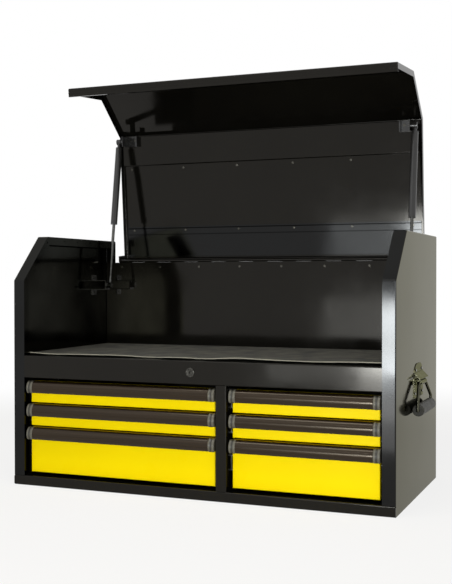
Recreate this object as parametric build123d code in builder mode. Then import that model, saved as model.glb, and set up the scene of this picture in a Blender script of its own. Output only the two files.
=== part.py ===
# Top tool chest: folded steel cabinet with six drawers, an open tray and a hinged lid on gas struts.
# Millimetres. X runs to the right, Y to the back, Z up.
# The origin is the centre of the base. The lid is modelled open and the drawers closed.
import os
from math import atan2, cos, degrees, hypot, radians, sin

from build123d import *

os.makedirs("parts", exist_ok=True)

# Cabinet
width = 925.0
depth = 458.0
tray_depth = 179.0
slope_rise = 108.0
slope_run = 106.0
corner_radius = 5.0
sheet = 1.2
bend_radius = 1.2
frame_flange = 29.0
return_lip = 20.0
base_rail_height = 22.9
rail_height = 52.8
weld_flange = 18.0

# Small holes along the return lips of the side panels
lip_hole_radius = 2.0
lip_hole_inset = 9.0
front_holes_start = 54.0
front_hole_pitch = 47.5
front_holes = 3
slope_holes_start = 5.0
slope_holes_end = 9.0
slope_holes = 3
top_holes_start = 80.0
top_hole_pitch = 64.0
top_holes = 4

# Divider between the two drawer banks
divider_left = 60.7
divider_width = 25.5

# Drawers, from the lowest up
face_heights = (107.5, 51.5, 51.5)
lowest_face_gap = 7.0
face_gap = 4.0
highest_face_gap = 8.8
face_recess = 18.0
face_side_gap = 8.0
front_depth = 12.0
front_sheet = 1.0
front_bend = 1.0
front_flange = 14.0
box_sheet = 1.0
box_seam = 0.05
box_back_gap = 26.6
box_floor_rise = 4.0
box_top_drop = 8.0
slide_gauge = 12.7
slide_height = 35.0
slide_sheet = 1.2
slide_play = 0.4
slide_setback = 1.0
slide_end_gap = 3.0

# Drawer pulls
pull_height = 28.0
pull_reach = 17.0
pull_wall = 1.8
pull_flat = 9.0
pull_lip_reach = 13.0
pull_groove = 0.7
cap_length = 15.5
cap_proud = 0.8
cap_end_gap = 4.5

# Uprights that carry the outer slides
upright_width = 40.0
upright_front_gap = 24.0
upright_back_gap = 39.0

# Tray liner
mat_thickness = 2.0
mat_front_gap = 26.0
mat_side_gap = 3.0

# Lid
lid_side_gap = 9.5
lid_flange = 15.3
lid_lip = 21.6
lid_lip_gap = 1.5
lid_hem = 7.0
bead_width = 3.0
bead_height = 0.8
bead_places = (4.0, 10.5)
hinge_drop = 55.0
open_angle = 85.5
stiffener_rise = 9.0
front_stiffener = (3.0, 85.0, 105.0)
rear_stiffener = (10.8, 94.8)
rear_stiffener_hem = 6.0
rear_rivet_gap = 1.1
stiffener_end_gap = 6.0

# Piano hinge
hinge_end_gap = 4.0
hinge_segments = 21
segment_play = 0.4
knuckle_radius = 3.5
pin_radius = 1.5
pin_play = 0.05
pin_proud = 1.0
leaf_thickness = 1.0
leaf_height = 25.0
leaf_play = 0.6
hinge_rivets = 8
hinge_rivet_margin = 8.0
stiffener_rivets = 6
stiffener_rivet_margin = 21.8

# Rivets
rivet_radius = 1.8
rivet_head_radius = 3.4
rivet_head = 1.3
rivet_play = 0.1

# Gas struts
strut_inset = 12.4
strut_seat = (19.46, 42.6)
strut_lean = (0.1445, 0.9895)
strut_open_length = 400.0
cylinder_radius = 9.0
cylinder_wall = 1.5
cylinder_end = 232.0
gland_length = 12.0
rod_radius = 4.0
rod_play = 0.1
piston_length = 10.0
eye_radius = 8.0
eye_width = 12.0
neck_radius = 5.0
neck_length = 16.0
stud_radius = 4.0
stud_play = 0.06
stud_face_gap = 0.3
lid_bracket_gap = 5.6
lid_bracket_width = 32.0
lid_bracket_ahead = 15.5
lid_bracket_behind = 12.5
bracket_sheet = 2.0
bracket_lip = 14.0
screw_insets = (8.0, 21.0)
screw_ahead = 4.5
side_bracket_width = 24.0
side_bracket_height = 26.0
side_bracket_foot = 14.0

# Lock
lock_rise = 26.8
lock_flange_radius = 10.5
lock_flange = 1.6
lock_barrel_radius = 8.0
lock_barrel_length = 30.0
plug_radius = 5.5
plug_play = 0.06
plug_gap = 0.3
keyway = (1.8, 7.0)
keyway_depth = 8.0
cam = (12.0, 20.0, 2.0)

# Side handles
pivot_height = 260.0
bracket_width = 100.0
bracket_drop = 34.0
bracket_rise = 42.0
bracket_plate = 1.6
bracket_arch = 36.0
pivot_stand_off = 9.0
barrel_radius = 6.0
barrel_half_length = 28.0
bail_radius = 3.5
bail_play = 0.1
bail_top_half = 36.5
bail_low_half = 76.0
stub_depth = 12.0
bail_knee_rise = 19.0
grip_drop = 57.0
grip_radius = 13.2
grip_half_length = 71.0
grip_stand_off = 14.5
grip_edge = 2.0
hood_half_length = 46.0
hood_reach = 15.0
hood_top_rise = 24.0
hood_edge_rise = 9.0
hood_sheet = 1.6
handle_rivet_places = ((40.0, -24.0), (32.0, 28.0))

half_width = width / 2
front = -depth / 2
back = depth / 2
inner_x = half_width - sheet
opening_x = half_width - frame_flange
slope_top_y = front + slope_run
divider_right = divider_left + divider_width
frame_back = front + return_lip
back_face = back - sheet
panel_inner = back_face - sheet
rail_bottom = (base_rail_height + lowest_face_gap + sum(face_heights) + face_gap * (len(face_heights) - 1)
               + highest_face_gap)
tray_level = rail_bottom + rail_height
lock_height = rail_bottom + lock_rise
floor_under = tray_level - sheet
shoulder_height = tray_level + tray_depth
side_height = shoulder_height + slope_rise
lid_half = opening_x - lid_side_gap
bend_outside = bend_radius + sheet
leaf_start = knuckle_radius + leaf_play
hinge_height = side_height - hinge_drop
hinge_y = panel_inner - leaf_thickness / 2
hinge_half = lid_half - hinge_end_gap
strut_x = lid_half - strut_inset


def save(piece, name):
    """Label a finished piece and write its STEP file."""
    piece.part.label = name
    export_step(piece.part, "parts/" + name + ".step")


def block(low, high, mode=Mode.ADD):
    """A box between two opposite corners."""
    size = [b - a for a, b in zip(low, high)]
    middle = [(a + b) / 2 for a, b in zip(low, high)]
    with Locations(tuple(middle)):
        Box(*size, mode=mode)


def rod(start, end, radius, mode=Mode.ADD):
    """A round bar from one point to another."""
    along = Vector(end) - Vector(start)
    with BuildSketch(Plane(origin=start, z_dir=along)) as section:
        Circle(radius)
    extrude(section.sketch, amount=along.length, mode=mode)


def mirrored(piece, name):
    """The same piece on the other side of the cabinet."""
    with BuildPart() as twin:
        mirror(piece.part, about=Plane.YZ)
    save(twin, name)


def inset(points, distance):
    """An open run of (y, z) points moved to its right-hand side by a distance."""
    normals = []
    for (y0, z0), (y1, z1) in zip(points, points[1:]):
        length = hypot(y1 - y0, z1 - z0)
        normals.append(((z1 - z0) / length, -(y1 - y0) / length))
    moved = []
    for i, (y, z) in enumerate(points):
        a = normals[max(i - 1, 0)]
        b = normals[min(i, len(normals) - 1)]
        share = distance / (1 + a[0] * b[0] + a[1] * b[1])
        moved.append((y + (a[0] + b[0]) * share, z + (a[1] + b[1]) * share))
    return moved


def bends(points, outside, thickness):
    """Bend radii along a run of (y, z) points, and along the same run moved to its right by a thickness."""
    near = []
    far = []
    inside = max(outside - thickness, 0)
    for (y0, z0), (y1, z1), (y2, z2) in zip(points, points[1:], points[2:]):
        turns_right = (y1 - y0) * (z2 - z1) < (z1 - z0) * (y2 - y1)
        near.append(outside if turns_right else inside)
        far.append(inside if turns_right else outside)
    return near, far


def strip(points, thickness, x_low, x_high, bend):
    """A folded sheet: a run of (y, z) points with a thickness and rounded bends, drawn out along X."""
    moved = inset(points, thickness)
    near, far = bends(points, bend, thickness)
    with BuildSketch(Plane.YZ.offset(x_low)) as section:
        with BuildLine():
            FilletPolyline(*points, radius=near)
            FilletPolyline(*moved, radius=far)
            Line(points[0], moved[0])
            Line(points[-1], moved[-1])
        make_face()
    extrude(section.sketch, amount=x_high - x_low)


def fold(outside, inside):
    """Round the bends of the current piece, given a point near each outer edge and each inner edge."""
    fillet([edges().sort_by_distance(place)[0] for place in outside], bend_outside)
    fillet([edges().sort_by_distance(place)[0] for place in inside], bend_radius)


def turned(point, angle):
    """A (y, z) point of the closed lid after the lid has opened by an angle."""
    dy = point[0] - hinge_y
    dz = point[1] - hinge_height
    c = cos(radians(angle))
    s = sin(radians(angle))
    return (hinge_y + dy * c + dz * s, hinge_height - dy * s + dz * c)


hinge_axis = Axis((0, hinge_y, hinge_height), (1, 0, 0))


def open_lid(name, shape):
    """Swing a lid piece, drawn in the closed place, up to the open place."""
    with BuildPart() as piece:
        add(shape.part.rotate(hinge_axis, -open_angle))
    save(piece, name)


def spread(low, high, count):
    """Evenly spaced places from one end to the other."""
    return [low + (high - low) * i / (count - 1) for i in range(count)]


def rivet_holes(places, rotation, plate):
    """Clearance holes for rivets through a plate."""
    with Locations(*places):
        Cylinder(rivet_radius + rivet_play, 4 * plate, rotation=rotation, mode=Mode.SUBTRACT)


# Points that several pieces share: the open strut, then the rivets of its bracket and of the handles
strut_top_closed = (slope_top_y + strut_seat[0], side_height - strut_seat[1])
strut_top_open = turned(strut_top_closed, open_angle)
strut_bottom = (strut_top_open[0] - strut_lean[0] * strut_open_length,
                strut_top_open[1] - strut_lean[1] * strut_open_length)
side_bracket_rivets = [(strut_bottom[0], strut_bottom[1] + side * (side_bracket_height + side_bracket_foot) / 2)
                       for side in (-1, 1)]
handle_rivets = [(side * y, pivot_height + z) for side in (-1, 1) for y, z in handle_rivet_places]
hinge_rivet_xs = spread(-hinge_half + hinge_rivet_margin, hinge_half - hinge_rivet_margin, hinge_rivets)

# Side panels
flange_outline = [(front, base_rail_height), (front, shoulder_height), (slope_top_y, side_height),
                  (back, side_height), (back, 0)]
lip_end = back - corner_radius


def lip_hole_places():
    """Centres of the small holes along the return lip of a side panel."""
    low, shoulder, top, end = inset(flange_outline[:4], lip_hole_inset)
    length = hypot(top[0] - shoulder[0], top[1] - shoulder[1])
    along = ((top[0] - shoulder[0]) / length, (top[1] - shoulder[1]) / length)
    places = [(low[0], shoulder_height - front_holes_start - i * front_hole_pitch) for i in range(front_holes)]
    places += [(shoulder[0] + along[0] * s, shoulder[1] + along[1] * s)
               for s in spread(slope_holes_start, length - slope_holes_end, slope_holes)]
    places += [(slope_top_y + top_holes_start + i * top_hole_pitch, end[1]) for i in range(top_holes)]
    return places


with BuildPart() as side_panel_right:
    with BuildSketch(Plane.YZ.offset(inner_x)):
        with BuildLine():
            FilletPolyline(*flange_outline, radius=corner_radius)
            Polyline((back, 0), (front + bend_outside, 0), (front + bend_outside, base_rail_height),
                     (front, base_rail_height))
        make_face()
    extrude(amount=sheet)
    strip(flange_outline, sheet, opening_x, inner_x, corner_radius)
    strip(flange_outline[:3] + [(lip_end, side_height)], return_lip, opening_x, opening_x + sheet, corner_radius)
    fold([(half_width, 0, side_height)], [(inner_x, 0, side_height - sheet)])
    with Locations(*[(opening_x, y, z) for y, z in lip_hole_places()]):
        Cylinder(lip_hole_radius, 4 * sheet, rotation=(0, 90, 0), mode=Mode.SUBTRACT)
    rivet_holes([(half_width, y, z) for y, z in handle_rivets + side_bracket_rivets], (0, 90, 0), sheet)
save(side_panel_right, "side_panel_right")
mirrored(side_panel_right, "side_panel_left")

# Base pan with the bottom rail
pan_return = base_rail_height - sheet
with BuildPart() as base_pan:
    block((-inner_x, front, 0), (inner_x, panel_inner, sheet))
    block((-inner_x, front, 0), (inner_x, front + sheet, base_rail_height))
    block((-inner_x, front, pan_return), (inner_x, frame_back, base_rail_height))
    fold([(0, front, 0), (0, front, base_rail_height)], [(0, front + sheet, sheet), (0, front + sheet, pan_return)])
    block((-inner_x, panel_inner - sheet, 0), (inner_x, panel_inner, weld_flange))
    block((-inner_x, frame_back, 0), (-inner_x + sheet, panel_inner, weld_flange))
    block((inner_x - sheet, frame_back, 0), (inner_x, panel_inner, weld_flange))
    for ear in ((-half_width, -inner_x), (inner_x, half_width)):
        block((ear[0], front, bend_outside), (ear[1], front + bend_outside, base_rail_height - bend_outside))
save(base_pan, "base_pan")

# Back panel, with a row of hinge rivet holes along its top
hinge_rivet_z = hinge_height - leaf_start - leaf_height / 2
back_half = inner_x - bend_radius
with BuildPart() as back_panel:
    block((-back_half, panel_inner, 0), (back_half, back_face, hinge_height - leaf_start))
    rivet_holes([(x, back_face, hinge_rivet_z) for x in hinge_rivet_xs], (90, 0, 0), sheet)
save(back_panel, "back_panel")

# Tray floor, folded down in front into the rail that carries the lock
with BuildPart() as tray_and_front_rail:
    block((-opening_x, front, floor_under), (opening_x, frame_back, tray_level))
    block((-inner_x, frame_back, floor_under), (inner_x, panel_inner, tray_level))
    block((-opening_x, front, rail_bottom), (opening_x, front + sheet, tray_level))
    block((-opening_x, front, rail_bottom), (opening_x, frame_back, rail_bottom + sheet))
    fold([(0, front, tray_level), (0, front, rail_bottom)],
         [(0, front + sheet, floor_under), (0, front + sheet, rail_bottom + sheet)])
    block((-inner_x, panel_inner - sheet, tray_level - weld_flange), (inner_x, panel_inner, tray_level))
    block((-inner_x, frame_back, tray_level - weld_flange), (-inner_x + sheet, panel_inner, tray_level))
    block((inner_x - sheet, frame_back, tray_level - weld_flange), (inner_x, panel_inner, tray_level))
    with Locations((0, front, lock_height)):
        Cylinder(lock_barrel_radius + plug_play, 4 * sheet, rotation=(90, 0, 0), mode=Mode.SUBTRACT)
save(tray_and_front_rail, "tray_and_front_rail")

# Divider between the banks: a front stile and two full walls
divider_walls = [(front, base_rail_height), (frame_back, base_rail_height), (frame_back, sheet),
                 (panel_inner - sheet, sheet), (panel_inner - sheet, floor_under), (frame_back, floor_under),
                 (frame_back, rail_bottom), (front, rail_bottom)]
with BuildPart() as centre_divider:
    block((divider_left, front, base_rail_height), (divider_right, front + sheet, rail_bottom))
    for wall_x in (divider_left, divider_right - sheet):
        with BuildSketch(Plane.YZ.offset(wall_x)):
            with BuildLine():
                Polyline(*divider_walls, close=True)
            make_face()
        extrude(amount=sheet)
    stile_middle = (base_rail_height + rail_bottom) / 2
    fold([(divider_left, front, stile_middle), (divider_right, front, stile_middle)],
         [(divider_left + sheet, front + sheet, stile_middle), (divider_right - sheet, front + sheet, stile_middle)])
save(centre_divider, "centre_divider")

# Uprights inside the side panels, for the outer slides
with BuildPart() as slide_uprights:
    for side in (-1, 1):
        for y in (front + upright_front_gap, back - upright_back_gap - upright_width):
            web = sorted((side * opening_x, side * (opening_x + sheet)))
            flange = sorted((side * opening_x, side * inner_x))
            top = tray_level - weld_flange
            block((web[0], y, weld_flange), (web[1], y + upright_width, top))
            block((flange[0], y, weld_flange), (flange[1], y + sheet, top))
            block((flange[0], y + upright_width - sheet, weld_flange), (flange[1], y + upright_width, top))
save(slide_uprights, "slide_uprights")

# Soft liner on the tray floor
with BuildPart() as tray_mat:
    block((-inner_x + mat_side_gap, front + mat_front_gap, tray_level),
          (inner_x - mat_side_gap, panel_inner - mat_side_gap, tray_level + mat_thickness))
save(tray_mat, "tray_mat")

# Drawers
banks = {"left": (-opening_x, divider_left), "right": (divider_right, opening_x)}
levels = ("bottom", "middle", "top")
face_y = front + face_recess
box_front = face_y + front_depth
box_end = panel_inner - box_back_gap
slide_start = box_front + slide_setback
slide_end = box_end - slide_end_gap


def face_low(level):
    """Height of the lower edge of a drawer front."""
    return base_rail_height + lowest_face_gap + sum(face_heights[:level]) + face_gap * level


def slide_low(level):
    """Height of the lower edge of a drawer's slides."""
    return face_low(level) + (face_heights[level] - slide_height) / 2


def slide_member(wall_x, toward, low, high):
    """A channel that stands on a wall and reaches almost to the web of its mate."""
    web = sorted((wall_x, wall_x + toward * slide_sheet))
    arm = sorted((wall_x, wall_x + toward * (slide_gauge - slide_sheet - slide_play)))
    block((web[0], slide_start, low), (web[1], slide_end, high))
    block((arm[0], slide_start, low), (arm[1], slide_end, low + slide_sheet))
    block((arm[0], slide_start, high - slide_sheet), (arm[1], slide_end, high))


def pull_section(top, proud):
    """The curved section of a drawer pull in the YZ plane; proud thickens it for the end cap."""
    nose = (face_y - pull_reach - proud, top - pull_height * 0.4)
    low = (face_y - pull_lip_reach - proud, top - pull_height - proud)
    flat = (face_y - pull_flat, top + proud)
    return nose, low, flat


def drawer_pull(name, x_low, x_high, top):
    """An extruded pull, open underneath for the fingers."""
    nose, low, flat = pull_section(top, 0)
    with BuildPart() as pull:
        with BuildSketch(Plane.YZ.offset(x_low)):
            with BuildLine():
                Line((face_y, top), flat)
                ThreePointArc(flat, nose, low)
                Line(low, (low[0] + pull_wall, low[1]))
                ThreePointArc((low[0] + pull_wall, low[1]), (nose[0] + pull_wall, nose[1]),
                              (flat[0] + pull_wall / 2, top - pull_wall))
                Line((flat[0] + pull_wall / 2, top - pull_wall), (face_y - pull_wall, top - pull_wall))
                Line((face_y - pull_wall, top - pull_wall), (face_y - pull_wall, low[1]))
                Line((face_y - pull_wall, low[1]), (face_y, low[1]))
                Line((face_y, low[1]), (face_y, top))
            make_face()
            with Locations((nose[0], top - pull_height * 0.32), (nose[0] + 0.4, top - pull_height * 0.64)):
                Circle(pull_groove, mode=Mode.SUBTRACT)
        extrude(amount=x_high - x_low)
    save(pull, name)


def pull_caps(name, x_low, x_high, top):
    """The two plastic caps at the ends of a pull."""
    nose, low, flat = pull_section(top, cap_proud)
    with BuildPart() as caps:
        for x in (x_low, x_high - cap_length):
            with BuildSketch(Plane.YZ.offset(x)):
                with BuildLine():
                    Line((face_y, flat[1]), flat)
                    ThreePointArc(flat, nose, low)
                    Line(low, (face_y, low[1]))
                    Line((face_y, low[1]), (face_y, flat[1]))
                make_face()
            extrude(amount=cap_length)
    save(caps, name)


def drawer_front(name, x_low, x_high, low, high):
    """A drawer front: a face folded back on all four sides and in again behind, against the box."""
    inside_y = face_y + front_sheet
    with BuildPart() as face:
        block((x_low, face_y, low), (x_high, box_front, high))
        block((x_low + front_sheet, inside_y, low + front_sheet),
              (x_high - front_sheet, box_front - front_sheet, high - front_sheet), Mode.SUBTRACT)
        fillet(faces().sort_by(Axis.Y)[0].edges(), front_bend + front_sheet)
        fillet(faces().filter_by_position(Axis.Y, inside_y, inside_y)[0].edges(), front_bend)
        block((x_low + front_flange, box_front - front_sheet, low + front_flange),
              (x_high - front_flange, box_front, high - front_flange), Mode.SUBTRACT)
    save(face, name)


def drawer_box(name, x_low, x_high, low, high):
    """An open steel tray: a floor, two sides on it, and a front and a back wall welded in between them."""
    wall_low = low + box_sheet + box_seam
    wall_left = x_low + box_sheet + box_seam
    wall_right = x_high - box_sheet - box_seam
    with BuildPart() as tray:
        block((x_low, box_front, low), (x_high, box_end, low + box_sheet))
        for x in (x_low, x_high - box_sheet):
            block((x, box_front, wall_low), (x + box_sheet, box_end, high))
        for y in (box_front, box_end - box_sheet):
            block((wall_left, y, wall_low), (wall_right, y + box_sheet, high))
    save(tray, name)


def drawer(bank, level):
    """All the pieces of one drawer."""
    x_low, x_high = banks[bank]
    stem = bank + "_" + levels[level] + "_drawer_"
    low = face_low(level)
    high = low + face_heights[level]
    box_low = x_low + slide_gauge
    box_high = x_high - slide_gauge
    drawer_front(stem + "front", x_low + face_side_gap, x_high - face_side_gap, low, high)
    drawer_box(stem + "box", box_low, box_high, low + box_floor_rise, high - box_top_drop)
    pull_low = x_low + cap_end_gap
    pull_high = x_high - cap_end_gap
    drawer_pull(stem + "pull", pull_low + cap_length, pull_high - cap_length, high)
    pull_caps(stem + "pull_caps", pull_low, pull_high, high)
    member_low = slide_low(level) + slide_sheet + slide_play
    member_high = slide_low(level) + slide_height - slide_sheet - slide_play
    with BuildPart() as members:
        slide_member(box_low, -1, member_low, member_high)
        slide_member(box_high, 1, member_low, member_high)
    save(members, stem + "slides")


for bank_name in banks:
    for level_index in range(len(levels)):
        drawer(bank_name, level_index)

with BuildPart() as fixed_slides:
    for x_low, x_high in banks.values():
        for level_index in range(len(levels)):
            low = slide_low(level_index)
            slide_member(x_low, 1, low, low + slide_height)
            slide_member(x_high, -1, low, low + slide_height)
save(fixed_slides, "fixed_slides")

# Lid, drawn closed and then opened about the hinge
lid_low = tray_level + lid_lip_gap
lid_rear_low = hinge_height + knuckle_radius + 2 * leaf_play
lid_profile = [(front, lid_low), (front, shoulder_height), (slope_top_y, side_height),
               (back_face, side_height), (back_face, lid_rear_low)]
lid_inside = side_height - sheet
lid_rivet_z = hinge_height + leaf_start + leaf_height / 2
stiffener_half = lid_half - sheet - stiffener_end_gap
stiffener_rivet_xs = spread(stiffener_rivet_margin - stiffener_half, stiffener_half - stiffener_rivet_margin,
                            stiffener_rivets)
front_rib_start, front_rib_step, front_rib_end = [slope_top_y + place for place in front_stiffener]
rear_rib_end, rear_rib_start = [back_face - place for place in rear_stiffener]
front_rivet_y = (front_rib_step + front_rib_end) / 2
rear_rivet_y = rear_rib_start + rear_stiffener_hem + rear_rivet_gap + rivet_head_radius
rib_rivet_places = [(x, y, lid_inside) for x in stiffener_rivet_xs for y in (front_rivet_y, rear_rivet_y)]

with BuildPart() as closed_lid:
    strip(lid_profile, sheet, -lid_half, lid_half, corner_radius)
    strip(lid_profile, lid_flange, -lid_half, -lid_half + sheet, corner_radius)
    strip(lid_profile, lid_flange, lid_half - sheet, lid_half, corner_radius)
    block((-lid_half, front, lid_low), (lid_half, front + lid_lip, lid_low + sheet))
    block((-lid_half, front + lid_lip - sheet, lid_low), (lid_half, front + lid_lip, lid_low + lid_hem))
    fold([(side * lid_half, 0, side_height) for side in (-1, 1)] + [(0, front, lid_low)],
         [(side * (lid_half - sheet), 0, lid_inside) for side in (-1, 1)] + [(0, front + sheet, lid_low + sheet)])
    for place in bead_places:
        block((-lid_half, front + place, lid_low - bead_height),
              (lid_half, front + place + bead_width, lid_low))
    rivet_holes([(x, back_face, lid_rivet_z) for x in hinge_rivet_xs], (90, 0, 0), sheet)
    rivet_holes(rib_rivet_places, (0, 0, 0), sheet)
open_lid("lid_shell", closed_lid)

# A rib across the lid for the struts and a doubler plate with folded edges above the hinge, both riveted on
rib_cap = lid_inside - stiffener_rise
rib_flange = lid_inside - sheet
lid_bracket_outer_x = strut_x - eye_width / 2 - lid_bracket_gap
screw_places = [(side * (lid_bracket_outer_x - x), strut_top_closed[0] - screw_ahead, rib_cap)
                for side in (-1, 1) for x in screw_insets]

with BuildPart() as closed_front_rib:
    strip([(front_rib_end, rib_flange), (front_rib_step, rib_flange), (front_rib_step, rib_cap),
           (front_rib_start, rib_cap), (front_rib_start, lid_inside)], sheet, -stiffener_half, stiffener_half,
          bend_outside)
    rivet_holes(rib_rivet_places, (0, 0, 0), sheet)
    rivet_holes(screw_places, (0, 0, 0), sheet)
open_lid("lid_front_stiffener", closed_front_rib)

with BuildPart() as closed_rear_rib:
    block((-stiffener_half, rear_rib_start, rib_flange), (stiffener_half, rear_rib_end, lid_inside))
    block((-stiffener_half, rear_rib_start, rib_flange - sheet),
          (stiffener_half, rear_rib_start + rear_stiffener_hem, rib_flange))
    block((-stiffener_half, rear_rib_end - sheet, rib_cap), (stiffener_half, rear_rib_end, rib_flange))
    rivet_holes(rib_rivet_places, (0, 0, 0), sheet)
open_lid("lid_rear_stiffener", closed_rear_rib)


# Piano hinge
def knuckles(parity):
    """Every other barrel of the hinge, bored for the pin."""
    segment = 2 * hinge_half / hinge_segments
    for i in range(parity, hinge_segments, 2):
        x0 = -hinge_half + i * segment + segment_play / 2
        x1 = x0 + segment - segment_play
        rod((x0, hinge_y, hinge_height), (x1, hinge_y, hinge_height), knuckle_radius)
        if parity == 0:
            block((x0, leaf_front, hinge_height - leaf_start - leaf_thickness), (x1, panel_inner, hinge_height))
        else:
            block((x0, leaf_front, hinge_height), (x1, panel_inner, hinge_height + leaf_start + leaf_thickness))
    rod((-hinge_half, hinge_y, hinge_height), (hinge_half, hinge_y, hinge_height),
        pin_radius + pin_play, Mode.SUBTRACT)


leaf_front = panel_inner - leaf_thickness

with BuildPart() as cabinet_hinge_leaf:
    block((-hinge_half, leaf_front, hinge_height - leaf_start - leaf_height),
          (hinge_half, panel_inner, hinge_height - leaf_start))
    knuckles(0)
    rivet_holes([(x, hinge_y, hinge_rivet_z) for x in hinge_rivet_xs], (90, 0, 0), leaf_thickness)
save(cabinet_hinge_leaf, "cabinet_hinge_leaf")

with BuildPart() as closed_lid_leaf:
    block((-hinge_half, leaf_front, hinge_height + leaf_start),
          (hinge_half, panel_inner, hinge_height + leaf_start + leaf_height))
    knuckles(1)
    rivet_holes([(x, hinge_y, lid_rivet_z) for x in hinge_rivet_xs], (90, 0, 0), leaf_thickness)
open_lid("lid_hinge_leaf", closed_lid_leaf)

with BuildPart() as hinge_pin:
    rod((-hinge_half - pin_proud, hinge_y, hinge_height), (hinge_half + pin_proud, hinge_y, hinge_height), pin_radius)
save(hinge_pin, "hinge_pin")

# Gas struts: cylinder hung on the lid, rod seated at a bracket on the side panel
strut_closed_length = hypot(strut_top_closed[0] - strut_bottom[0], strut_top_closed[1] - strut_bottom[1])
eye_half = eye_width / 2


def on_strut(distance, x):
    """A point on the open strut, measured down from its top pivot."""
    return (x, strut_top_open[0] - strut_lean[0] * distance, strut_top_open[1] - strut_lean[1] * distance)


def strut_cylinder(name, x):
    """The hollow cylinder with its upper eye."""
    y, z = strut_top_open
    with BuildPart() as cylinder:
        rod((x - eye_half, y, z), (x + eye_half, y, z), eye_radius)
        rod(on_strut(0, x), on_strut(neck_length + 2, x), neck_radius)
        rod(on_strut(neck_length, x), on_strut(cylinder_end, x), cylinder_radius)
        rod(on_strut(neck_length + gland_length, x), on_strut(cylinder_end - gland_length, x),
            cylinder_radius - cylinder_wall, Mode.SUBTRACT)
        rod(on_strut(cylinder_end - 2 * gland_length, x), on_strut(cylinder_end, x),
            rod_radius + rod_play, Mode.SUBTRACT)
        rod((x - eye_width, y, z), (x + eye_width, y, z), stud_radius + stud_play, Mode.SUBTRACT)
    save(cylinder, name)


def strut_rod(name, x):
    """The rod with its piston inside the cylinder and its lower eye."""
    piston_end = cylinder_end - gland_length - 2
    y, z = strut_bottom
    with BuildPart() as piece:
        rod(on_strut(piston_end - piston_length, x), on_strut(piston_end, x),
            cylinder_radius - cylinder_wall - rod_play)
        rod(on_strut(piston_end, x), on_strut(strut_open_length, x), rod_radius)
        rod((x - eye_half, y, z), (x + eye_half, y, z), eye_radius)
        rod(on_strut(strut_open_length - neck_length, x), on_strut(strut_open_length, x), neck_radius)
    save(piece, name)


for side_name, side in (("left", -1), ("right", 1)):
    strut_cylinder("strut_cylinder_" + side_name, side * strut_x)
    strut_rod("strut_rod_" + side_name, side * strut_x)

lid_bracket_inner_x = lid_bracket_outer_x - lid_bracket_width
with BuildPart() as closed_lid_brackets:
    y, z = strut_top_closed
    y0 = y - lid_bracket_ahead
    y1 = y + lid_bracket_behind
    for side in (-1, 1):
        near, far = sorted((side * lid_bracket_inner_x, side * lid_bracket_outer_x))
        wall = sorted((side * lid_bracket_outer_x, side * (lid_bracket_outer_x - bracket_sheet)))
        short = sorted((side * lid_bracket_inner_x, side * (lid_bracket_inner_x + bracket_sheet)))
        block((near, y0, rib_cap - bracket_sheet), (far, y1, rib_cap))
        block((wall[0], y0, z - eye_radius), (wall[1], y1, rib_cap))
        block((short[0], y0, rib_cap - bracket_lip), (short[1], y1, rib_cap))
        rod((side * (lid_bracket_outer_x - bracket_sheet), y, z), (side * (strut_x + eye_half), y, z), stud_radius)
        rod((side * lid_bracket_outer_x, y, z), (side * (strut_x - eye_half - stud_face_gap), y, z),
            stud_radius + bracket_sheet)
    rivet_holes(screw_places, (0, 0, 0), bracket_sheet)
open_lid("lid_strut_brackets", closed_lid_brackets)

side_bracket_face = strut_x + eye_half + stud_face_gap
with BuildPart() as cabinet_strut_brackets:
    y, z = strut_bottom
    y0 = y - side_bracket_width / 2
    y1 = y + side_bracket_width / 2
    z0 = z - side_bracket_height / 2
    z1 = z + side_bracket_height / 2
    for side in (-1, 1):
        face = sorted((side * side_bracket_face, side * (side_bracket_face + bracket_sheet)))
        leg = sorted((side * side_bracket_face, side * inner_x))
        foot = sorted((side * (inner_x - bracket_sheet), side * inner_x))
        block((face[0], y0, z0), (face[1], y1, z1))
        block((leg[0], y0, z0), (leg[1], y1, z0 + bracket_sheet))
        block((leg[0], y0, z1 - bracket_sheet), (leg[1], y1, z1))
        block((foot[0], y0, z0 - side_bracket_foot), (foot[1], y1, z0 + bracket_sheet))
        block((foot[0], y0, z1 - bracket_sheet), (foot[1], y1, z1 + side_bracket_foot))
    rivet_holes([(side * inner_x, y, z) for side in (-1, 1) for y, z in side_bracket_rivets],
                (0, 90, 0), bracket_sheet)
save(cabinet_strut_brackets, "cabinet_strut_brackets")

# Lock in the front rail
lock_face = front - lock_flange
barrel_end = front + lock_barrel_length
with BuildPart() as lock_body:
    rod((0, lock_face, lock_height), (0, front, lock_height), lock_flange_radius)
    rod((0, front, lock_height), (0, barrel_end, lock_height), lock_barrel_radius)
    rod((0, lock_face, lock_height), (0, barrel_end, lock_height), plug_radius + plug_play, Mode.SUBTRACT)
save(lock_body, "lock_body")

cam_width, cam_reach, cam_thickness = cam
cam_start = barrel_end + plug_gap
with BuildPart() as lock_plug:
    rod((0, lock_face, lock_height), (0, cam_start, lock_height), plug_radius)
    block((-cam_width / 2, cam_start, lock_height - cam_width / 2),
          (cam_width / 2, cam_start + cam_thickness, lock_height + cam_reach))
    block((-keyway[0] / 2, lock_face, lock_height - keyway[1] / 2),
          (keyway[0] / 2, lock_face + keyway_depth, lock_height + keyway[1] / 2), Mode.SUBTRACT)
save(lock_plug, "lock_plug")

# Side handles: a stamped bracket with a barrel, a bail of round bar and a grip on it
pivot_x = half_width + pivot_stand_off
grip_x = half_width + grip_stand_off
grip_height = pivot_height - grip_drop
hood_top = pivot_height + hood_top_rise
hood_edge = pivot_height + hood_edge_rise

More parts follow.
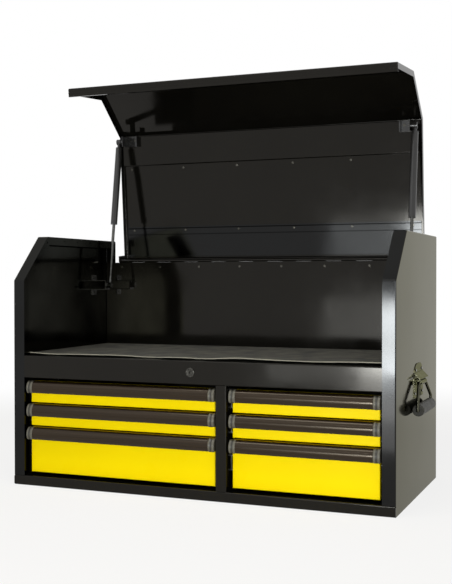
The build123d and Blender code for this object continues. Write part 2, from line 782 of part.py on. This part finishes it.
with BuildPart() as right_handle_bracket:
    with BuildSketch(Plane.YZ.offset(half_width)):
        with Locations((0, pivot_height + (bracket_rise - bracket_drop) / 2)):
            Rectangle(bracket_width, bracket_rise + bracket_drop)
        fillet(vertices().sort_by(Axis.Y)[-2:], bracket_arch)
    extrude(amount=bracket_plate)
    block((half_width, -barrel_half_length, pivot_height - barrel_radius),
          (pivot_x, barrel_half_length, pivot_height + barrel_radius))
    rod((pivot_x, -barrel_half_length, pivot_height), (pivot_x, barrel_half_length, pivot_height), barrel_radius)
    rod((pivot_x, -barrel_half_length, pivot_height), (pivot_x, barrel_half_length, pivot_height),
        bail_radius + bail_play, Mode.SUBTRACT)
    with BuildSketch(Plane.XZ.offset(-hood_half_length)):
        with BuildLine():
            Polyline((half_width, hood_top), (half_width + hood_reach, hood_edge),
                     (half_width + hood_reach - hood_sheet, hood_edge - hood_sheet),
                     (half_width, hood_top - 2 * hood_sheet), close=True)
        make_face()
    extrude(amount=2 * hood_half_length)
    rivet_holes([(half_width, y, z) for y, z in handle_rivets], (0, 90, 0), bracket_plate)

with BuildPart() as handle_brackets:
    add(right_handle_bracket.part)
    mirror(right_handle_bracket.part, about=Plane.YZ)
save(handle_brackets, "handle_brackets")

with BuildPart() as bail_right:
    for side in (-1, 1):
        top = (pivot_x, side * bail_top_half, pivot_height)
        knee = (grip_x, side * bail_low_half, grip_height + bail_knee_rise)
        low = (grip_x, side * bail_low_half, grip_height)
        rod((pivot_x, side * (barrel_half_length - stub_depth), pivot_height), top, bail_radius)
        rod(top, knee, bail_radius)
        rod(knee, low, bail_radius)
        with Locations(top, knee, low):
            Sphere(bail_radius)
    rod((grip_x, -bail_low_half, grip_height), (grip_x, bail_low_half, grip_height), bail_radius)
save(bail_right, "bail_right")
mirrored(bail_right, "bail_left")

with BuildPart() as grip_right:
    rod((grip_x, -grip_half_length, grip_height), (grip_x, grip_half_length, grip_height), grip_radius)
    fillet(edges().filter_by(GeomType.CIRCLE), grip_edge)
    rod((grip_x, -grip_half_length, grip_height), (grip_x, grip_half_length, grip_height),
        bail_radius + bail_play, Mode.SUBTRACT)
save(grip_right, "grip_right")
mirrored(grip_right, "grip_left")


# Rivets and screws
def rivet(inside, outside, head_out=True):
    """A rivet between two faces, with a flat head inside and, if asked, one outside."""
    along = (Vector(outside) - Vector(inside)).normalized()
    rod(inside, outside, rivet_radius)
    rod(Vector(inside) - along * rivet_head, inside, rivet_head_radius)
    if head_out:
        rod(outside, Vector(outside) + along * rivet_head, rivet_head_radius)


with BuildPart() as cabinet_fasteners:
    for x in hinge_rivet_xs:
        rivet((x, leaf_front, hinge_rivet_z), (x, back_face, hinge_rivet_z))
    for side in (-1, 1):
        for y, z in handle_rivets:
            rivet((side * inner_x, y, z), (side * (half_width + bracket_plate), y, z))
        for y, z in side_bracket_rivets:
            rivet((side * (inner_x - bracket_sheet), y, z), (side * half_width, y, z), False)
save(cabinet_fasteners, "cabinet_fasteners")

with BuildPart() as closed_lid_fasteners:
    for x in hinge_rivet_xs:
        rivet((x, leaf_front, lid_rivet_z), (x, back_face, lid_rivet_z))
    for x, y, z in rib_rivet_places:
        rivet((x, y, rib_flange), (x, y, side_height), False)
    for x, y, z in screw_places:
        rivet((x, y, rib_cap - bracket_sheet), (x, y, rib_cap + sheet))
open_lid("lid_fasteners", closed_lid_fasteners)

lean_closed = degrees(atan2(strut_top_closed[1] - strut_bottom[1], strut_top_closed[0] - strut_bottom[0]))
lean_open = degrees(atan2(strut_lean[1], strut_lean[0]))
print("hinge", hinge_y, hinge_height, "strut top", strut_top_open, "strut bottom", strut_bottom)
print("strut length open", strut_open_length, "closed", strut_closed_length)
print("strut turn", lean_closed - lean_open, "lid turn", open_angle)
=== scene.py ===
from functools import reduce
from math import cos, pi, radians, sin

import bmesh
import bpy
from mathutils import Matrix, Vector, noise


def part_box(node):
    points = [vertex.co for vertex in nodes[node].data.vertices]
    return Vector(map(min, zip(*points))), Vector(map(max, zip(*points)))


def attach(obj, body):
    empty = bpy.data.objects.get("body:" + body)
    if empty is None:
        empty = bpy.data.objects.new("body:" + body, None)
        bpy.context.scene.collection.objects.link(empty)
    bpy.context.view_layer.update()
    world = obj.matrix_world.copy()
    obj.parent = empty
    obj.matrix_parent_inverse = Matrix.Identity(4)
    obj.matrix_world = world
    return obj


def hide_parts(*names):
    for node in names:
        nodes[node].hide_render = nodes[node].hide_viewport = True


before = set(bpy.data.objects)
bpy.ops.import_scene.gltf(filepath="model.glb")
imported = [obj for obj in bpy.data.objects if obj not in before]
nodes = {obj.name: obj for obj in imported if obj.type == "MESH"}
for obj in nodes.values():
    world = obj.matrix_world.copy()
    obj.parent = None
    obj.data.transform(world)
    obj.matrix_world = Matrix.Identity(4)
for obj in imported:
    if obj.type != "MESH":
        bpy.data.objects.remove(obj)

scene = bpy.context.scene
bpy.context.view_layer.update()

# Camera, at the photograph's place
camera_place = Vector((0.9125, -2.2712, 0.4924))
camera_yaw = radians(22.03)
camera_pitch = radians(-0.75)
camera_roll = radians(-0.03)
focal_pixels = 1005.33
picture_height = 584
sensor = 36.0

# Light from all around, and two wide lamps
ambient = 0.28
key_place = (-1.3, -2.9, 2.3)
key_target = (0, 0, 0.4)
key_size = (2.0, 1.6)
key_radiance = 0.5
top_place = (0.1, -1.1, 2.5)
top_target = (0.1, -0.8, 0)
top_size = (2.4, 0.5)
top_radiance = 6.0
white = (1, 1, 1)
warm = (1, 0.98, 0.93)
cool = (0.94, 0.98, 1.0)

# Small lamps that the black sheet mirrors, each with its place, size and radiance: some upright in front of
# the chest, some flat on the floor. The tilt keeps the sides of the flat ones along X and Y.
boxes = [
    ("front_box", (-0.0675, -2.4, 0.245), (0.195, 0.32), 46.0),
    ("foot_box", (-0.0675, -2.4, 0.043), (0.2, 0.08), 14.0),
    ("edge_box", (-0.4, -2.4, 0.22), (0.4, 0.36), 3.0),
    ("middle_box", (0.73, -2.4, 0.3), (0.36, 0.4), 24.0),
    ("right_box", (1.42, -2.4, 0.36), (0.34, 0.44), 32.0),
]
floor_panels = [
    ("far_panel", (0.08, -1.95, 0.004), (0.4, 0.7), 8.0),
    ("near_panel", (0.2, -1.3, 0.004), (0.4, 0.6), 3.5),
]
panel_tilt = 0.0001

# Floor: how white it is near the chest, to the camera and in a mirror, and between which distances it fades
floor_half = 20.0
floor_gap = 0.0003
floor_near = 1.2
floor_far = 2.5
floor_share = 0.82
floor_mirrored_share = 0.7
floor_colour = (0.88, 0.84, 0.76)

# Dark strip under the hinge: painted shade, a dark sheet where there is only shade
hinge_shade_strip_height = 0.0005
hinge_shade_strip_depth = 0.0008

# Where most values of a noise lie
noise_low = 0.3
noise_high = 0.7

# Paint on sheet: scale and detail of the smudges, and the scales and heights of its waviness and orange peel
smudge_scale = 5.0
coat_noise = (9.0, 6.0)
coat_gloss = (0.05, 0.15)
waviness_scale = 2.6
waviness_height = 0.001
peel_scale = 420.0
peel_height = 0.000006
paint_specular = 0.21

# Black of the side panels and of the plate above the hinge: head on, and its tint at a glancing angle, a painted
# reflection tint that stands in for the warm, dim surroundings the panels mirror
panel_colour = (0.0198, 0.0200, 0.0200)
panel_reflection_tint = (0.68, 0.67, 0.595)
panel_mottle = 0.1

# Painted shade lines along the seams of the plate above the hinge, dark where the seams' edges would be in shade:
# how far below its top, and the share of gloss that is left there
seam_shade_lines = ((0.005, 0.0), (0.0222, 0.35))
seam_shade_half_width = 0.0022

# Pull caps
cap_width = 0.0155
cap_groove = 0.0012
cap_ring = 0.0022
cap_ring_height = 0.0006

# Tray mat
mat_step = 0.006
mat_lift = 0.007
mat_roll = 0.055
mat_front_band = 0.008
mat_patches = (0.3, 0.42)
mat_wave_scale = 9.0
mat_wave_line = (0.3, 1.7)
mat_drift = 0.0006
mat_drift_scale = (3.1, 2.3)
mat_drift_level = 5.1

# Round edges: how wide, and in how many steps
cap_edge = (0.002, 3)
fastener_edge = (0.0006, 2)
fine_edge = (0.0005, 2)
weld_reach = 0.00001
flat_angle = radians(1)
sharp_angle = radians(30)


def linear(red, green, blue):
    """A colour given as 0 to 255 values, in the linear values that a shader takes."""
    shares = [value / 255 for value in (red, green, blue)]
    return tuple(s / 12.92 if s <= 0.04045 else ((s + 0.055) / 1.055) ** 2.4 for s in shares)


def add(name, data):
    """A new object of the scene."""
    made = bpy.data.objects.new(name, data)
    scene.collection.objects.link(made)
    return made


# Building blocks of the materials; made is a material or the world
def feed(made, socket, value):
    """Link an input to a source, or else give it a value of its own."""
    if isinstance(value, bpy.types.NodeSocket):
        made.node_tree.links.new(value, socket)
    else:
        socket.default_value = value


def combine(made, operation, *values):
    """What a Math node makes of its sources and numbers."""
    node = made.node_tree.nodes.new("ShaderNodeMath")
    node.operation = operation
    for socket, value in zip(node.inputs, values):
        feed(made, socket, value)
    return node.outputs[0]


def least(made, sources):
    """The smallest of some sources."""
    return reduce(lambda first, second: combine(made, "MINIMUM", first, second), sources)


def span(made, source, low, high, start=noise_low, end=noise_high, interpolation="LINEAR"):
    """A value that goes from low to high as a source goes from start to end."""
    node = made.node_tree.nodes.new("ShaderNodeMapRange")
    node.interpolation_type = interpolation
    feed(made, node.inputs["Value"], source)
    feed(made, node.inputs["From Min"], start)
    feed(made, node.inputs["From Max"], end)
    feed(made, node.inputs["To Min"], low)
    feed(made, node.inputs["To Max"], high)
    return node.outputs["Result"]


def place_along(made, axis):
    """The place along one of the piece's own axes."""
    tree = made.node_tree
    place = tree.nodes.new("ShaderNodeTexCoord")
    apart = tree.nodes.new("ShaderNodeSeparateXYZ")
    tree.links.new(place.outputs["Object"], apart.inputs[0])
    return apart.outputs[axis]


def distance_to(made, source, centre):
    """How far a source is from a number."""
    return combine(made, "ABSOLUTE", combine(made, "SUBTRACT", source, centre))


def mottle(made, scale, detail=4.0, stretch=white):
    """A noise in the piece's own coordinates, from 0 to 1."""
    tree = made.node_tree
    place = tree.nodes.new("ShaderNodeTexCoord")
    mapping = tree.nodes.new("ShaderNodeMapping")
    texture = tree.nodes.new("ShaderNodeTexNoise")
    mapping.inputs["Scale"].default_value = stretch
    texture.inputs["Scale"].default_value = scale
    texture.inputs["Detail"].default_value = detail
    tree.links.new(place.outputs["Object"], mapping.inputs["Vector"])
    tree.links.new(mapping.outputs["Vector"], texture.inputs["Vector"])
    return texture.outputs["Fac"]


# Finishes
def finish(name, colour, roughness, metallic=0.0, specular=0.5, tint=white):
    """A new material, with what is the same all over on the shader's own sockets."""
    made = bpy.data.materials.new(name)
    made.use_nodes = True
    shader = shader_of(made)
    shader.inputs["Base Color"].default_value = (*colour, 1)
    shader.inputs["Roughness"].default_value = roughness
    shader.inputs["Metallic"].default_value = metallic
    shader.inputs["Specular IOR Level"].default_value = specular
    shader.inputs["Specular Tint"].default_value = (*tint, 1)
    return made


def shader_of(made):
    """The surface shader of a material."""
    return made.node_tree.nodes["Principled BSDF"]


def vary_roughness(made, source, low, high):
    """Let the roughness follow a source."""
    feed(made, shader_of(made).inputs["Roughness"], span(made, source, low, high))


def vary_colour(made, source, dark, light, start=noise_low, end=noise_high):
    """Let the colour go from dark to light as a source goes from start to end."""
    mix = made.node_tree.nodes.new("ShaderNodeMix")
    mix.data_type = "RGBA"
    feed(made, mix.inputs["Factor"], span(made, source, 0, 1, start, end))
    mix.inputs["A"].default_value = (*dark, 1)
    mix.inputs["B"].default_value = (*light, 1)
    feed(made, shader_of(made).inputs["Base Color"], mix.outputs["Result"])


def raise_bumps(made, *layers):
    """Bumps of the surface: each layer is a source and its height in metres."""
    below = None
    for source, height in layers:
        bump = made.node_tree.nodes.new("ShaderNodeBump")
        bump.inputs["Distance"].default_value = height
        feed(made, bump.inputs["Height"], source)
        if below:
            feed(made, bump.inputs["Normal"], below)
        below = bump.outputs["Normal"]
    feed(made, shader_of(made).inputs["Normal"], below)


def coat(made):
    """The face of gloss paint on thin sheet: faint smudges, a little waviness and orange peel."""
    vary_roughness(made, mottle(made, *coat_noise), *coat_gloss)
    raise_bumps(made, (mottle(made, waviness_scale, 1.0), waviness_height),
                (mottle(made, peel_scale, 1.0), peel_height))
    return made


def black_paint():
    """Gloss black on the sheet, with a painted warm tint in its reflection."""
    # The warm specular tint stands in for the warm surroundings the paint mirrors: a painted reflection colour
    made = finish("black_paint", linear(11, 10, 8), 0.1, specular=paint_specular, tint=(1, 0.95, 0.87))
    vary_colour(made, mottle(made, smudge_scale), linear(9, 8, 6), linear(14, 13, 10))
    return coat(made)


def outer_paint():
    """Gloss black whose reflection at a glancing angle is weaker and warmer, for the side panels: a painted
    reflection, like the warm, dim surroundings that they mirror.
    """
    made = finish("outer_paint", panel_colour, 0.1, metallic=1.0, tint=panel_reflection_tint)
    dark = tuple((1 - panel_mottle) * part for part in panel_colour)
    light = tuple((1 + panel_mottle) * part for part in panel_colour)
    vary_colour(made, mottle(made, smudge_scale), dark, light)
    return coat(made)


def seam_shade_paint():
    """The side panels' black with a painted line of shade along each seam, for the plate above the hinge."""
    made = finish("seam_shade_paint", panel_colour, 0.1, metallic=1.0, tint=panel_reflection_tint)
    height = place_along(made, "Z")
    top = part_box("lid_rear_stiffener")[1].z
    # The colour goes to black on each line: painted shade, not a colour of the plate
    gloss = least(made, [span(made, distance_to(made, height, top - drop), share, 1, 0, seam_shade_half_width)
                         for drop, share in seam_shade_lines])
    vary_colour(made, gloss, (0, 0, 0), panel_colour, 0, 1)
    return coat(made)


def patchy(name, colour, dark, light, colour_noise, gloss, gloss_noise, grain_noise, grain_height, **surface):
    """A finish whose colour and roughness vary in soft patches, with a fine grain over them.

    A noise is its scale and its detail, and gloss the lowest and highest roughness.
    """
    made = finish(name, colour, **surface)
    vary_colour(made, mottle(made, *colour_noise), dark, light)
    vary_roughness(made, mottle(made, *gloss_noise), *gloss)
    raise_bumps(made, (mottle(made, *grain_noise), grain_height))
    return made


def yellow_paint():
    """Even gloss paint on the drawer fronts."""
    return patchy("yellow_paint", linear(250, 221, 0), dark=linear(248, 219, 0), light=linear(252, 223, 0),
                  colour_noise=(4.0, 4.0), gloss=(0.24, 0.36), gloss_noise=(14.0, 5.0),
                  grain_noise=(peel_scale, 1.0), grain_height=0.00001, roughness=0.3, specular=0.05)


def strut_black():
    """Satin paint on the strut cylinders and brackets."""
    return patchy("strut_black", linear(20, 19, 17), dark=linear(15, 14, 13), light=linear(26, 25, 23),
                  colour_noise=(40.0, 4.0), gloss=(0.13, 0.24), gloss_noise=(60.0, 5.0),
                  grain_noise=(900.0, 2.0), grain_height=0.00001, roughness=0.18, specular=0.6)


def grip_rubber():
    """Moulded rubber, faintly stippled."""
    return patchy("grip_rubber", linear(44, 43, 38), dark=linear(36, 35, 31), light=linear(54, 53, 46),
                  colour_noise=(70.0, 5.0), gloss=(0.5, 0.7), gloss_noise=(40.0, 4.0),
                  grain_noise=(1300.0, 2.0), grain_height=0.00008, roughness=0.5, specular=0.4)


def bare_metal(name, dark, light, gloss, scale, edge=white):
    """Plated or polished metal with faint handling marks; edge is its tint at a glancing angle."""
    return patchy(name, light, dark=dark, light=light,
                  colour_noise=(scale, 5.0), gloss=gloss, gloss_noise=(2 * scale, 6.0),
                  grain_noise=(8 * scale, 2.0), grain_height=0.00001, roughness=gloss[1], metallic=1.0, tint=edge)


def pull_metal():
    """Dark bronze anodising on an extrusion, with fine lines along its length."""
    made = finish("pull_metal", linear(29, 20, 12), 0.2, specular=0.36, tint=(1, 0.86, 0.68))
    grain = mottle(made, 300.0, 3.0, (0.01, 1, 1))
    vary_colour(made, grain, linear(24, 16, 9), linear(34, 24, 15))
    vary_roughness(made, mottle(made, 20.0, 5.0), 0.15, 0.25)
    raise_bumps(made, (grain, 0.00002))
    return made


def cap_rings(made):
    """Two raised rings round every pull cap, from 0 in the groove between them to 1 on a ring."""
    across = place_along(made, "X")
    distances = []
    for bank in ("left", "right"):
        low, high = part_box(bank + "_top_drawer_pull_caps")
        for centre in (low.x + cap_width / 2, high.x - cap_width / 2):
            distances.append(distance_to(made, across, centre))
    return span(made, least(made, distances), 0, 1, cap_groove, cap_groove + cap_ring, "SMOOTHSTEP")


def cap_plastic():
    """Moulded plastic with a fine grain and raised rings, with painted shade in the groove and a painted
    highlight on the rings.
    """
    made = finish("cap_plastic", linear(68, 65, 56), 0.5, specular=0.4)
    rings = cap_rings(made)
    # Darker in the groove and lighter on the rings: painted shade and highlight
    vary_colour(made, rings, linear(46, 44, 38), linear(90, 87, 76))
    vary_roughness(made, mottle(made, 25.0, 4.0), 0.32, 0.48)
    raise_bumps(made, (rings, cap_ring_height), (mottle(made, 1500.0, 2.0), 0.00004))
    return made


def mat_rubber():
    """Soft liner with a pebbled face, lighter along its front edge."""
    made = finish("mat_rubber", linear(68, 68, 65), 0.75, specular=0.4)
    front_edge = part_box("tray_mat")[0].y
    # A lighter band along the front edge, matching a bright line seen there
    front_band = span(made, place_along(made, "Y"), 1, 0, front_edge, front_edge + mat_front_band)
    patches = span(made, mottle(made, 30.0, 6.0), *mat_patches)
    vary_colour(made, combine(made, "MAXIMUM", front_band, patches), linear(59, 59, 56), linear(150, 146, 130))
    vary_roughness(made, mottle(made, 12.0, 4.0), 0.68, 0.88)
    raise_bumps(made, (mottle(made, 700.0, 2.0), 0.0002))
    return made


def slide_steel():
    """Zinc-plated steel with a drawn grain."""
    made = finish("slide_steel", linear(118, 119, 120), 0.4, metallic=1.0)
    grain = mottle(made, 400.0, 3.0, (1, 0.02, 1))
    vary_colour(made, mottle(made, 45.0, 5.0), linear(106, 107, 108), linear(130, 131, 132))
    vary_roughness(made, grain, 0.32, 0.5)
    raise_bumps(made, (grain, 0.00001))
    return made


made_finishes = [
    black_paint(),
    seam_shade_paint(),
    outer_paint(),
    yellow_paint(),
    pull_metal(),
    cap_plastic(),
    mat_rubber(),
    slide_steel(),
    strut_black(),
    bare_metal("strut_rod", linear(66, 66, 64), linear(96, 96, 93), (0.1, 0.2), 60.0, (0.6, 0.6, 0.58)),
    bare_metal("lock_chrome", linear(34, 33, 30), linear(92, 91, 86), (0.08, 0.2), 260.0),
    bare_metal("handle_chrome", linear(98, 98, 84), linear(126, 125, 108), (0.12, 0.22), 40.0,
               (0.42, 0.42, 0.33)),
    bare_metal("bail_chrome", linear(56, 55, 47), linear(84, 83, 71), (0.12, 0.2), 40.0, (0.6, 0.6, 0.5)),
    grip_rubber(),
    bare_metal("rivet_steel", linear(62, 61, 56), linear(90, 88, 82), (0.1, 0.2), 120.0),
]
finishes = {made.name.split(".")[0]: made for made in made_finishes}

# Nodes that don't take the finish of their slot
other_finishes = {
    "hinge_pin": "strut_black",
    "lid_rear_stiffener": "seam_shade_paint",
    "side_panel_left": "outer_paint",
    "side_panel_right": "outer_paint",
    "bail_left": "bail_chrome",
    "bail_right": "bail_chrome",
}
round_edges = {
    "cabinet_fasteners": fastener_edge,
    "lid_fasteners": fastener_edge,
    "lock_body": fine_edge,
    "handle_brackets": fine_edge,
    "lid_front_stiffener": fine_edge,
    "lid_rear_stiffener": fine_edge,
}


def dress(node):
    """Give a CAD node the finish of its slot."""
    for place in node.material_slots:
        place.material = finishes[place.material.name.split(".")[0]]


def soften(name, width, segments):
    """Round the sharp edges of a CAD node."""
    piece = nodes[name]
    weld = piece.modifiers.new("weld", "WELD")
    weld.merge_threshold = weld_reach
    flat = piece.modifiers.new("flat", "DECIMATE")
    flat.decimate_type = "DISSOLVE"
    flat.angle_limit = flat_angle
    bevel = piece.modifiers.new("bevel", "BEVEL")
    bevel.width = width
    bevel.segments = segments
    bevel.limit_method = "ANGLE"
    bevel.angle_limit = sharp_angle
    piece.modifiers.new("normals", "WEIGHTED_NORMAL")


for node in nodes.values():
    dress(node)
for name, chosen in other_finishes.items():
    nodes[name].material_slots[0].material = finishes[chosen]

for name in nodes:
    if name.endswith("_pull_caps"):
        soften(name, *cap_edge)
for name, edge in round_edges.items():
    soften(name, *edge)


# Hinge
def make_hinge_shade_strip():
    """A dark strip along the back panel's top, so that no light shows under the hinge's barrels: painted shade
    standing in for the shade there.
    """
    low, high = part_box("back_panel")
    leaf_low, leaf_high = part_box("cabinet_hinge_leaf")
    xs = (leaf_low.x, leaf_high.x)
    ys = (low.y, low.y + hinge_shade_strip_depth)
    zs = (high.z, high.z + hinge_shade_strip_height)
    corners = [(x, y, z) for x in xs for y in ys for z in zs]
    faces = [(0, 1, 3, 2), (4, 6, 7, 5), (0, 4, 5, 1), (2, 3, 7, 6), (0, 2, 6, 4), (1, 5, 7, 3)]
    mesh = bpy.data.meshes.new("hinge_shade_strip")
    mesh.from_pydata(corners, [], faces)
    mesh.materials.append(finishes["strut_black"])
    strip = add("hinge_shade_strip", mesh)
    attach(strip, "cabinet")


# Tray mat
def mat_height(x, y, front):
    """How far the mat stands off the tray: waves that rise towards its front edge."""
    near = max(0.0, 1 - (y - front) / mat_roll)
    wave = 0.5 + 0.5 * noise.noise(Vector((x * mat_wave_scale, *mat_wave_line)))
    drift_place = Vector((x * mat_drift_scale[0], y * mat_drift_scale[1], mat_drift_level))
    drift = 0.5 + 0.5 * noise.noise(drift_place)
    return mat_lift * wave * near * near + mat_drift * drift


def make_mat():
    """The liner as a thin wavy sheet."""
    low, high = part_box("tray_mat")
    across = round((high.x - low.x) / mat_step)
    along = round((high.y - low.y) / mat_step)
    mesh = bpy.data.meshes.new("mat")
    shape = bmesh.new()
    rows = []
    for j in range(along + 1):
        y = low.y + (high.y - low.y) * j / along
        row = []
        for i in range(across + 1):
            x = low.x + (high.x - low.x) * i / across
            row.append(shape.verts.new((x, y, low.z + mat_height(x, y, low.y))))
        rows.append(row)
    for j in range(along):
        for i in range(across):
            face = shape.faces.new((rows[j][i], rows[j][i + 1], rows[j + 1][i + 1], rows[j + 1][i]))
            face.smooth = True
    shape.to_mesh(mesh)
    shape.free()
    mesh.materials.append(finishes["mat_rubber"])
    mat = add("wavy_tray_mat", mesh)
    thick = mat.modifiers.new("thick", "SOLIDIFY")
    thick.thickness = high.z - low.z
    thick.offset = 1
    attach(mat, "cabinet")
    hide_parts("tray_mat")


make_mat()
make_hinge_shade_strip()


# Floor and background
def background_ray(made):
    """1 for the rays that see the background as it is: camera, glossy and transmission rays."""
    path = made.node_tree.nodes.new("ShaderNodeLightPath")
    either = combine(made, "MAXIMUM", path.outputs["Is Camera Ray"], path.outputs["Is Glossy Ray"])
    return combine(made, "MAXIMUM", either, path.outputs["Is Transmission Ray"])


def make_world():
    """White where it is seen, and a soft even light on the object."""
    world = bpy.data.worlds.new("studio")
    world.use_nodes = True
    scene.world = world
    light = world.node_tree.nodes["Background"]
    light.inputs["Color"].default_value = (1, 1, 1, 1)
    feed(world, light.inputs["Strength"], span(world, background_ray(world), ambient, 1, 0, 1))


def floor_finish():
    """Pale floor: it takes the chest's shadow near by and fades to white further off.

    The camera sees it whiter than a gloss surface does, which mirrors more of the light on it.
    """
    made = bpy.data.materials.new("floor")
    made.use_nodes = True
    tree = made.node_tree
    tree.nodes.clear()
    output = tree.nodes.new("ShaderNodeOutputMaterial")
    matt = tree.nodes.new("ShaderNodeBsdfDiffuse")
    matt.inputs["Color"].default_value = (*floor_colour, 1)
    glow = tree.nodes.new("ShaderNodeEmission")
    mix = tree.nodes.new("ShaderNodeMixShader")
    place = tree.nodes.new("ShaderNodeTexCoord")
    distance = tree.nodes.new("ShaderNodeVectorMath")
    distance.operation = "LENGTH"
    path = tree.nodes.new("ShaderNodeLightPath")
    feed(made, distance.inputs[0], place.outputs["Object"])
    near = span(made, path.outputs["Is Camera Ray"], floor_mirrored_share, floor_share, 0, 1)
    fade = span(made, distance.outputs["Value"], near, 1, floor_near, floor_far, "SMOOTHSTEP")
    feed(made, mix.inputs["Fac"], combine(made, "MULTIPLY", fade, background_ray(made)))
    feed(made, mix.inputs[1], matt.outputs[0])
    feed(made, mix.inputs[2], glow.outputs[0])
    feed(made, output.inputs["Surface"], mix.outputs[0])
    return made


def make_floor():
    """A wide flat floor just under the chest."""
    mesh = bpy.data.meshes.new("floor")
    corners = [(x * floor_half, y * floor_half, -floor_gap) for x, y in ((-1, -1), (1, -1), (1, 1), (-1, 1))]
    mesh.from_pydata(corners, [], [(0, 1, 2, 3)])
    mesh.materials.append(floor_finish())
    floor = add("floor", mesh)


def make_lamp(name, place, target, size, radiance, colour=white):
    """A soft rectangular lamp that looks at a target."""
    light = bpy.data.lights.new(name, "AREA")
    light.shape = "RECTANGLE"
    light.size, light.size_y = size
    light.energy = radiance * pi * size[0] * size[1]
    light.color = colour
    lamp = add(name, light)
    lamp.location = place
    lamp.rotation_mode = "QUATERNION"
    lamp.rotation_quaternion = (Vector(target) - Vector(place)).to_track_quat("-Z", "Y")


make_world()
make_floor()
make_lamp("key", key_place, key_target, key_size, key_radiance)
make_lamp("top", top_place, top_target, top_size, top_radiance, warm)
for name, (x, y, z), size, radiance in boxes:
    make_lamp(name, (x, y, z), (x, 0, z), size, radiance, cool)
for name, (x, y, z), size, radiance in floor_panels:
    make_lamp(name, (x, y, z), (x, y + panel_tilt, z + 1), size, radiance)


# Camera
def make_camera():
    """The camera at the photograph's place."""
    level_part = cos(camera_pitch)
    ahead = Vector((-sin(camera_yaw) * level_part, cos(camera_yaw) * level_part, sin(camera_pitch)))
    level = ahead.cross(Vector((0, 0, 1))).normalized()
    upward = level.cross(ahead)
    right = level * cos(camera_roll) + upward * sin(camera_roll)
    top = upward * cos(camera_roll) - level * sin(camera_roll)
    lens = bpy.data.cameras.new("camera")
    lens.sensor_width = sensor
    lens.lens = sensor * focal_pixels / picture_height
    camera = add("camera", lens)
    turn = Matrix((right, top, -ahead)).transposed().to_4x4()
    camera.matrix_world = Matrix.Translation(camera_place) @ turn
    scene.camera = camera


make_camera()
bpy.context.scene.view_settings.view_transform = "Standard"
